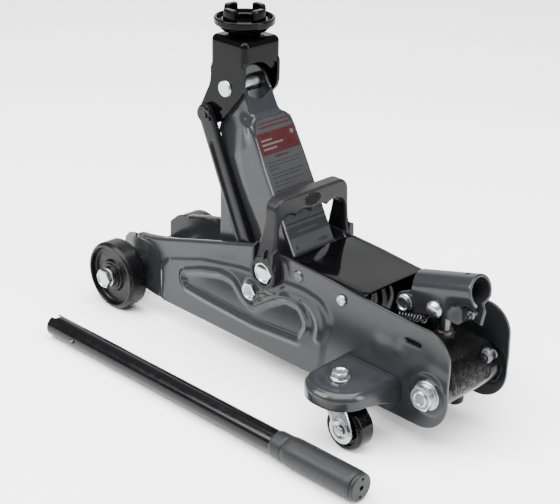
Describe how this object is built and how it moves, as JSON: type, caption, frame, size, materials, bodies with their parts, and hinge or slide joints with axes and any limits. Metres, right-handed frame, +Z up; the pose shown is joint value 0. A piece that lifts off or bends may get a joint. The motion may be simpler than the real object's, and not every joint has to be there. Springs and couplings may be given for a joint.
{
  "type": "hydraulic floor jack",
  "caption": "Low wheeled floor jack with a raised hinged lift arm, round swivelling saddle, casters, folding carry handle and a separate pump handle.",
  "frame": {"origin": "centre of the whole part at floor level, the loose pump handle included", "axes": "+X along the jack from the front wheels to the pump end, +Y towards the side away from the loose handle, +Z up"},
  "size_m": [0.476, 0.281, 0.345],
  "materials": {
    "grey_paint": "gloss powder coat",
    "dark_grey_paint": "gloss powder coat",
    "black_paint": "gloss paint",
    "black_casting": "rough painted casting",
    "zinc": "bright zinc plated",
    "steel": "ground steel",
    "dark_steel": "oiled spring steel",
    "grey_plastic": "moulded satin",
    "black_plastic": "moulded gloss"
  },
  "bodies": {
    "frame": {"side_plate_near": "grey_paint", "side_plate_far": "grey_paint", "front_axle": "steel", "front_cross_plate": "grey_paint", "axle_bolt_near": "zinc", "axle_bolt_far": "zinc", "rear_cross_tube": "black_paint", "rear_nut_near": "zinc", "rear_nut_far": "zinc", "main_pivot_bolt": "zinc", "main_pivot_nut": "zinc", "link_bolt_near": "zinc", "link_bolt_far": "zinc", "cover_plate": "black_paint", "cover_screw_near": "zinc", "cover_screw_far": "zinc", "caster_bracket_near": "grey_paint", "caster_bracket_far": "grey_paint", "caster_bolt_near": "zinc", "caster_bolt_far": "zinc", "hydraulic_base": "black_casting", "oil_reservoir": "black_paint", "lever_pin": "zinc"},
    "lift_arm": {"lift_arm": "grey_paint", "yoke_pin": "steel"},
    "saddle_bracket": {"saddle_bracket": "black_paint", "saddle_pin": "zinc", "link_pin_near": "dark_steel", "link_pin_far": "dark_steel"},
    "saddle": {"saddle": "black_paint", "saddle_clip": "dark_steel"},
    "link_rods": {"link_rod_near": "dark_grey_paint", "link_rod_far": "dark_grey_paint"},
    "ram": {"ram_rod": "steel", "ram_head": "steel"},
    "pump_lever": {"lever_socket": "dark_grey_paint", "plunger_bolt": "zinc", "socket_screw": "zinc"},
    "plunger": {"pump_plunger": "steel"},
    "release_valve": {"release_valve": "steel"},
    "front_wheel_near": {"front_wheel_near": "dark_grey_paint"},
    "front_wheel_far": {"front_wheel_far": "dark_grey_paint"},
    "caster_near": {"caster_fork_near": "zinc", "caster_rivet_near": "zinc"},
    "caster_far": {"caster_fork_far": "zinc", "caster_rivet_far": "zinc"},
    "caster_wheel_near": {"caster_wheel_near": "black_plastic"},
    "caster_wheel_far": {"caster_wheel_far": "black_plastic"},
    "carry_handle": {"carry_handle": "grey_plastic"},
    "pump_handle": {"handle_tube": "black_paint", "handle_grip": "grey_plastic", "grip_end_cap": "grey_plastic"},
    "spring_button": {"spring_button": "steel"}
  },
  "joints": [
    {"name": "lift", "type": "hinge", "parent": "frame", "child": "lift_arm", "pos_m": [0.01622, 0.0237, 0.1115], "axis": [0, 1, 0], "range_deg": [-78.7, 0]},
    {"name": "bracket_level", "type": "hinge", "parent": "lift_arm", "child": "saddle_bracket", "pos_m": [-0.06939, 0.0237, 0.26813], "axis": [0, 1, 0], "range_deg": [0, 78.7]},
    {"name": "link_swing", "type": "hinge", "parent": "frame", "child": "link_rods", "pos_m": [-0.00758, 0.0237, 0.0818], "axis": [0, 1, 0], "range_deg": [-78.7, 0]},
    {"name": "saddle_swivel", "type": "hinge", "parent": "saddle_bracket", "child": "saddle", "pos_m": [-0.06878, 0.0237, 0.3185], "axis": [0, 0, 1], "continuous": true},
    {"name": "ram_slide", "type": "slide", "parent": "frame", "child": "ram", "axis": [1, 0, 0], "range_m": [0, 0.06595]},
    {"name": "lever_pump", "type": "hinge", "parent": "frame", "child": "pump_lever", "pos_m": [0.16212, 0.0237, 0.12], "axis": [0, -1, 0], "range_deg": [0, 36]},
    {"name": "plunger_slide", "type": "slide", "parent": "frame", "child": "plunger", "axis": [0, 0, 1], "range_m": [0, 0.0188]},
    {"name": "valve_turn", "type": "hinge", "parent": "frame", "child": "release_valve", "pos_m": [0.22271, 0.0457, 0.079], "axis": [1, 0, 0], "range_deg": [0, 180]},
    {"name": "front_wheel_near_spin", "type": "hinge", "parent": "frame", "child": "front_wheel_near", "pos_m": [-0.20128, -0.0351, 0.037], "axis": [0, 1, 0], "continuous": true},
    {"name": "front_wheel_far_spin", "type": "hinge", "parent": "frame", "child": "front_wheel_far", "pos_m": [-0.20128, 0.0825, 0.037], "axis": [0, 1, 0], "continuous": true},
    {"name": "caster_near_swivel", "type": "hinge", "parent": "frame", "child": "caster_near", "pos_m": [0.15002, -0.0631, 0.055], "axis": [0, 0, 1], "continuous": true},
    {"name": "caster_wheel_near_spin", "type": "hinge", "parent": "caster_near", "child": "caster_wheel_near", "pos_m": [0.16431, -0.0631, 0.0216], "axis": [0, 1, 0], "continuous": true},
    {"name": "caster_far_swivel", "type": "hinge", "parent": "frame", "child": "caster_far", "pos_m": [0.15002, 0.1105, 0.055], "axis": [0, 0, 1], "continuous": true},
    {"name": "caster_wheel_far_spin", "type": "hinge", "parent": "caster_far", "child": "caster_wheel_far", "pos_m": [0.16431, 0.1105, 0.0216], "axis": [0, 1, 0], "continuous": true},
    {"name": "carry_handle_fold", "type": "hinge", "parent": "frame", "child": "carry_handle", "pos_m": [0.01622, 0.0237, 0.1115], "axis": [0, 1, 0], "range_deg": [0, 49]},
    {"name": "handle_lift_off", "type": "slide", "parent": "frame", "child": "pump_handle", "axis": [0, 0, 1], "range_m": [0, 0.15]},
    {"name": "button_press", "type": "slide", "parent": "pump_handle", "child": "spring_button", "axis": [-0.0126, 0.9999, 0], "range_m": [0, 0.003], "stiffness_N_per_m": 400, "springref_m": -0.002}
  ],
  "couplings": [
    {"joint": "bracket_level", "follows": "lift", "ratio": -1},
    {"joint": "link_swing", "follows": "lift", "ratio": 1},
    {"joint": "ram_slide", "follows": "lift", "m_per_rad": -0.048007},
    {"joint": "plunger_slide", "follows": "lever_pump", "m_per_rad": 0.029898}
  ]
}
